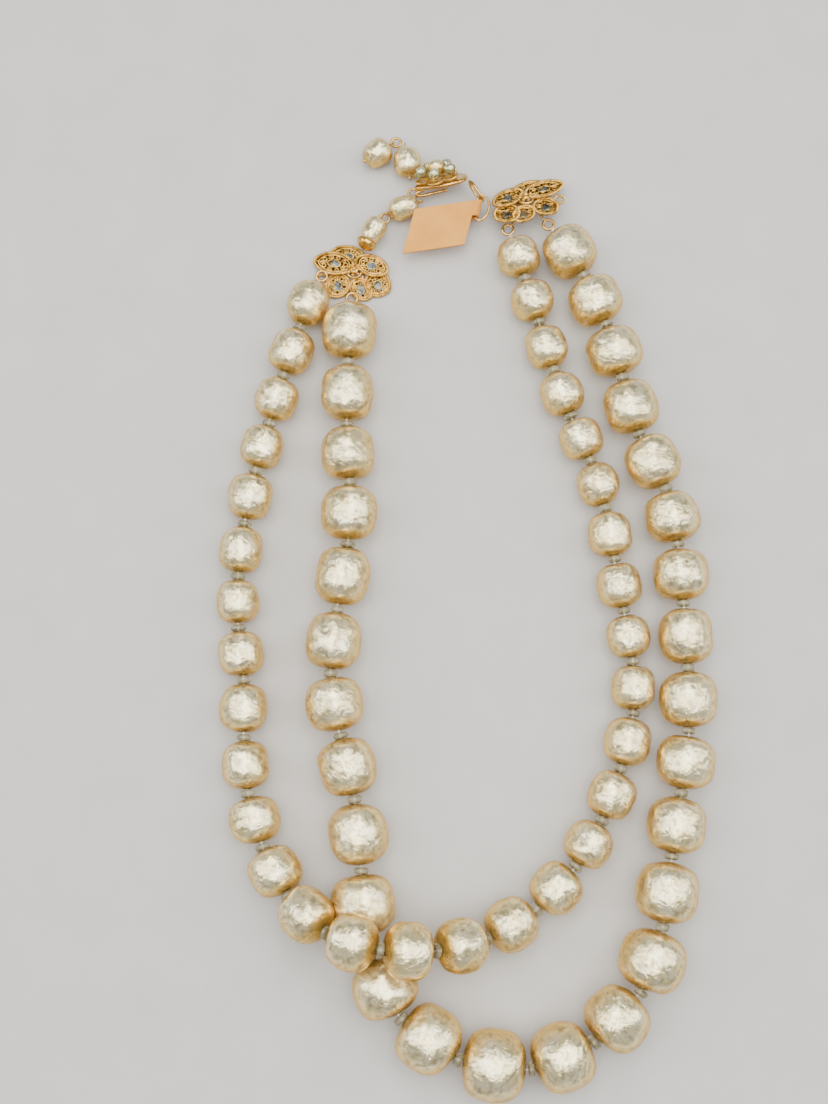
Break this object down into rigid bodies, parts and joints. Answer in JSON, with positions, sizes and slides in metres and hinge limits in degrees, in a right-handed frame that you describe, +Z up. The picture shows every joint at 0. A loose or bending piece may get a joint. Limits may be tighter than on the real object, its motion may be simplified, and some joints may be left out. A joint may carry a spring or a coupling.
{
  "type": "two-strand pearl necklace",
  "caption": "Two-strand baroque pearl necklace with filigree ends, a hook clasp with seed pearls, a pearl extender and a blank shop tag, laid flat.",
  "frame": {"origin": "on the resting surface, under the middle of the laid-out necklace", "axes": "+Y from the front of the necklace to its clasp, +X to the right, +Z up"},
  "size_m": [0.0982, 0.195, 0.0208],
  "materials": {
    "pearl": "wrinkled pearl coat over glass",
    "seed_pearl": "small glass pearls",
    "spacer_glass": "clear pale seed beads",
    "thread": "silvery thread and wire wrap",
    "antique_gold": "stamped antique gold",
    "tag_paper": "matt blank paper"
  },
  "bodies": {
    "left_filigree": {"left_filigree_base": "antique_gold", "left_filigree_petals": "antique_gold", "left_filigree_rivet": "antique_gold", "left_inner_eye": "antique_gold", "left_outer_eye": "antique_gold", "inner_pearl_01": "pearl"},
    "outer_left_1": {"outer_pearls_01_02": "pearl"},
    "outer_left_2": {"outer_pearls_03_04": "pearl"},
    "outer_left_3": {"outer_pearl_05": "pearl"},
    "outer_left_4": {"outer_pearls_06_07": "pearl"},
    "outer_left_5": {"outer_pearls_08_09": "pearl"},
    "outer_left_6": {"outer_pearls_10_11": "pearl"},
    "outer_front": {"outer_pearls_12_13": "pearl", "outer_pearls_14_15": "pearl"},
    "outer_right_6": {"outer_pearls_16_17": "pearl"},
    "outer_right_5": {"outer_pearls_18_19": "pearl"},
    "outer_right_4": {"outer_pearls_20_21": "pearl"},
    "outer_right_3": {"outer_pearl_22": "pearl"},
    "outer_right_2": {"outer_pearls_23_24": "pearl"},
    "outer_right_1": {"outer_pearls_25_26": "pearl"},
    "outer_right_0": {"outer_pearls_27_28": "pearl"},
    "inner_left_1": {"inner_pearls_02_03": "pearl"},
    "inner_left_2": {"inner_pearls_04_05": "pearl"},
    "inner_left_3": {"inner_pearls_06_07": "pearl"},
    "inner_left_4": {"inner_pearls_08_09": "pearl"},
    "inner_left_5": {"inner_pearls_10_11": "pearl"},
    "inner_front": {"inner_pearls_12_13": "pearl", "inner_pearls_14_15": "pearl", "inner_pearl_16": "pearl", "inner_pearls_17_18": "pearl"},
    "inner_right_5": {"inner_pearls_19_21": "pearl"},
    "inner_right_4": {"inner_pearls_22_23": "pearl"},
    "inner_right_3": {"inner_pearl_24": "pearl"},
    "inner_right_2": {"inner_pearls_25_27": "pearl"},
    "inner_right_1": {"inner_pearls_28_29": "pearl"},
    "inner_right_0": {"inner_pearls_30_31": "pearl"},
    "right_filigree": {"right_filigree_base": "antique_gold", "right_filigree_petals": "antique_gold", "right_filigree_rivet": "antique_gold", "right_inner_eye": "antique_gold", "right_outer_eye": "antique_gold"},
    "clasp_link": {"clasp_link": "antique_gold"},
    "clasp": {"clasp_ring": "antique_gold", "clasp_hook": "antique_gold", "clasp_filigree": "antique_gold", "clasp_centre_pearl": "pearl", "clasp_seed_pearl_1": "seed_pearl", "clasp_seed_pearl_2": "seed_pearl", "clasp_seed_pearl_3": "seed_pearl", "clasp_seed_pearl_4": "seed_pearl", "clasp_seed_pearl_5": "seed_pearl"},
    "price_tag": {"price_tag": "tag_paper"},
    "extender_1": {"extender_bead_cap": "antique_gold", "extender_pearl_1": "pearl", "extender_link_1": "antique_gold"},
    "extender_2": {"extender_pearl_2": "pearl", "extender_link_2": "antique_gold"},
    "extender_3": {"extender_pearl_3": "pearl", "extender_link_3": "antique_gold"},
    "extender_4": {"extender_pearl_4": "pearl"}
  },
  "joints": [
    {"name": "strand_fold_1", "type": "hinge", "parent": "left_filigree", "child": "outer_left_1", "pos_m": [-0.02292, 0.0552, 0.0052], "axis": [-1, 0, 0], "range_deg": [-18, 18]},
    {"name": "strand_fold_2", "type": "hinge", "parent": "outer_left_1", "child": "outer_left_2", "pos_m": [-0.02351, 0.0328, 0.0052], "axis": [-1, 0, 0], "range_deg": [-18, 18]},
    {"name": "strand_fold_3", "type": "hinge", "parent": "outer_left_2", "child": "outer_left_3", "pos_m": [-0.02307, 0.0086, 0.0052], "axis": [-1, 0, 0], "range_deg": [-18, 18]},
    {"name": "strand_fold_4", "type": "hinge", "parent": "outer_left_3", "child": "outer_left_4", "pos_m": [-0.02505, -0.0058, 0.0052], "axis": [-1, 0, 0], "range_deg": [-18, 18]},
    {"name": "strand_fold_5", "type": "hinge", "parent": "outer_left_4", "child": "outer_left_5", "pos_m": [-0.0242, -0.0288, 0.0052], "axis": [-1, 0, 0], "range_deg": [-18, 18]},
    {"name": "strand_fold_6", "type": "hinge", "parent": "outer_left_5", "child": "outer_left_6", "pos_m": [-0.01995, -0.054, 0.0052], "axis": [-1, 0, 0], "range_deg": [-14, 14]},
    {"name": "outer_front_drop", "type": "hinge", "parent": "outer_left_6", "child": "outer_front", "pos_m": [-0.01236, -0.08247, 0.0063], "axis": [-0.9951, -0.0987, 0], "range_deg": [-18, 18]},
    {"name": "outer_front_return", "type": "hinge", "parent": "outer_front", "child": "outer_right_6", "pos_m": [0.03207, -0.07806, 0.0063], "axis": [-0.9951, -0.0987, 0], "range_deg": [-18, 18]},
    {"name": "outer_right_fold_6", "type": "hinge", "parent": "outer_right_6", "child": "outer_right_5", "pos_m": [0.03902, -0.054, 0.0052], "axis": [-1, 0, 0], "range_deg": [-14, 14]},
    {"name": "outer_right_fold_5", "type": "hinge", "parent": "outer_right_5", "child": "outer_right_4", "pos_m": [0.04322, -0.0288, 0.0052], "axis": [-1, 0, 0], "range_deg": [-18, 18]},
    {"name": "outer_right_fold_4", "type": "hinge", "parent": "outer_right_4", "child": "outer_right_3", "pos_m": [0.04315, -0.0058, 0.0052], "axis": [-1, 0, 0], "range_deg": [-18, 18]},
    {"name": "outer_right_fold_3", "type": "hinge", "parent": "outer_right_3", "child": "outer_right_2", "pos_m": [0.04248, 0.0086, 0.0052], "axis": [-1, 0, 0], "range_deg": [-18, 18]},
    {"name": "outer_right_fold_2", "type": "hinge", "parent": "outer_right_2", "child": "outer_right_1", "pos_m": [0.03561, 0.0328, 0.0052], "axis": [-1, 0, 0], "range_deg": [-18, 18]},
    {"name": "outer_right_fold_1", "type": "hinge", "parent": "outer_right_1", "child": "outer_right_0", "pos_m": [0.02947, 0.0552, 0.0052], "axis": [-1, 0, 0], "range_deg": [-18, 18]},
    {"name": "inner_left_fold_1", "type": "hinge", "parent": "left_filigree", "child": "inner_left_1", "pos_m": [-0.03344, 0.0552, 0.0052], "axis": [-1, 0, 0], "range_deg": [-18, 18]},
    {"name": "inner_left_fold_2", "type": "hinge", "parent": "inner_left_1", "child": "inner_left_2", "pos_m": [-0.03932, 0.0328, 0.0052], "axis": [-1, 0, 0], "range_deg": [-18, 18]},
    {"name": "inner_left_fold_3", "type": "hinge", "parent": "inner_left_2", "child": "inner_left_3", "pos_m": [-0.04373, 0.0086, 0.0052], "axis": [-1, 0, 0], "range_deg": [-18, 18]},
    {"name": "inner_left_fold_4", "type": "hinge", "parent": "inner_left_3", "child": "inner_left_4", "pos_m": [-0.04445, -0.0058, 0.0052], "axis": [-1, 0, 0], "range_deg": [-18, 18]},
    {"name": "inner_left_fold_5", "type": "hinge", "parent": "inner_left_4", "child": "inner_left_5", "pos_m": [-0.04294, -0.0288, 0.0052], "axis": [-1, 0, 0], "range_deg": [-18, 18]},
    {"name": "inner_left_fold_6", "type": "hinge", "parent": "inner_left_5", "child": "inner_front", "pos_m": [-0.03873, -0.054, 0.0052], "axis": [-1, 0, 0], "range_deg": [-14, 14]},
    {"name": "inner_right_fold_6", "type": "hinge", "parent": "inner_front", "child": "inner_right_5", "pos_m": [0.0207, -0.054, 0.0052], "axis": [-1, 0, 0], "range_deg": [-14, 14]},
    {"name": "inner_right_fold_5", "type": "hinge", "parent": "inner_right_5", "child": "inner_right_4", "pos_m": [0.03271, -0.0288, 0.0052], "axis": [-1, 0, 0], "range_deg": [-18, 18]},
    {"name": "inner_right_fold_4", "type": "hinge", "parent": "inner_right_4", "child": "inner_right_3", "pos_m": [0.03151, -0.0058, 0.0052], "axis": [-1, 0, 0], "range_deg": [-18, 18]},
    {"name": "inner_right_fold_3", "type": "hinge", "parent": "inner_right_3", "child": "inner_right_2", "pos_m": [0.0299, 0.0086, 0.0052], "axis": [-1, 0, 0], "range_deg": [-18, 18]},
    {"name": "inner_right_fold_2", "type": "hinge", "parent": "inner_right_2", "child": "inner_right_1", "pos_m": [0.02195, 0.0328, 0.0052], "axis": [-1, 0, 0], "range_deg": [-18, 18]},
    {"name": "inner_right_fold_1", "type": "hinge", "parent": "inner_right_1", "child": "inner_right_0", "pos_m": [0.01584, 0.0552, 0.0052], "axis": [-1, 0, 0], "range_deg": [-18, 18]},
    {"name": "right_filigree_tilt", "type": "hinge", "parent": "outer_right_0", "child": "right_filigree", "pos_m": [0.019, 0.0757, 0.0026], "axis": [0.9893, 0.1461, 0], "range_deg": [0, 45]},
    {"name": "clasp_link_swing", "type": "hinge", "parent": "right_filigree", "child": "clasp_link", "pos_m": [0.00575, 0.07991, 0.0034], "axis": [0.2419, 0.9703, 0], "range_deg": [0, 40]},
    {"name": "clasp_swing", "type": "hinge", "parent": "clasp_link", "child": "clasp", "pos_m": [0.00401, 0.08285, 0.0034], "axis": [0.8387, 0.5446, 0], "range_deg": [0, 45]},
    {"name": "tag_swing", "type": "hinge", "parent": "clasp_link", "child": "price_tag", "pos_m": [0.00265, 0.08069, 0.0034], "axis": [0.2419, 0.9703, 0], "range_deg": [0, 50]},
    {"name": "extender_swing_1", "type": "hinge", "parent": "left_filigree", "child": "extender_1", "pos_m": [-0.02061, 0.07125, 0.0028], "axis": [0, 0, 1], "range_deg": [0, 40]},
    {"name": "extender_swing_2", "type": "hinge", "parent": "extender_1", "child": "extender_2", "pos_m": [-0.0161, 0.0789, 0.0015], "axis": [0, 0, 1], "range_deg": [0, 30]},
    {"name": "extender_swing_3", "type": "hinge", "parent": "extender_2", "child": "extender_3", "pos_m": [-0.01, 0.0845, 0.0015], "axis": [0, 0, 1], "range_deg": [0, 35]},
    {"name": "extender_swing_4", "type": "hinge", "parent": "extender_3", "child": "extender_4", "pos_m": [-0.0137, 0.0962, 0.0015], "axis": [0, 0, -1], "range_deg": [0, 80]}
  ],
  "couplings": [
    {"joint": "outer_front_return", "follows": "outer_front_drop", "ratio": -1},
    {"joint": "outer_right_fold_6", "follows": "strand_fold_6", "ratio": -1},
    {"joint": "outer_right_fold_5", "follows": "strand_fold_5", "ratio": -1},
    {"joint": "outer_right_fold_4", "follows": "strand_fold_4", "ratio": -1},
    {"joint": "outer_right_fold_3", "follows": "strand_fold_3", "ratio": -1},
    {"joint": "outer_right_fold_2", "follows": "strand_fold_2", "ratio": -1},
    {"joint": "outer_right_fold_1", "follows": "strand_fold_1", "ratio": -1},
    {"joint": "inner_left_fold_1", "follows": "strand_fold_1", "ratio": 1},
    {"joint": "inner_left_fold_2", "follows": "strand_fold_2", "ratio": 1},
    {"joint": "inner_left_fold_3", "follows": "strand_fold_3", "ratio": 1},
    {"joint": "inner_left_fold_4", "follows": "strand_fold_4", "ratio": 1},
    {"joint": "inner_left_fold_5", "follows": "strand_fold_5", "ratio": 1},
    {"joint": "inner_left_fold_6", "follows": "strand_fold_6", "ratio": 1},
    {"joint": "inner_right_fold_6", "follows": "strand_fold_6", "ratio": -1},
    {"joint": "inner_right_fold_5", "follows": "strand_fold_5", "ratio": -1},
    {"joint": "inner_right_fold_4", "follows": "strand_fold_4", "ratio": -1},
    {"joint": "inner_right_fold_3", "follows": "strand_fold_3", "ratio": -1},
    {"joint": "inner_right_fold_2", "follows": "strand_fold_2", "ratio": -1},
    {"joint": "inner_right_fold_1", "follows": "strand_fold_1", "ratio": -1}
  ]
}
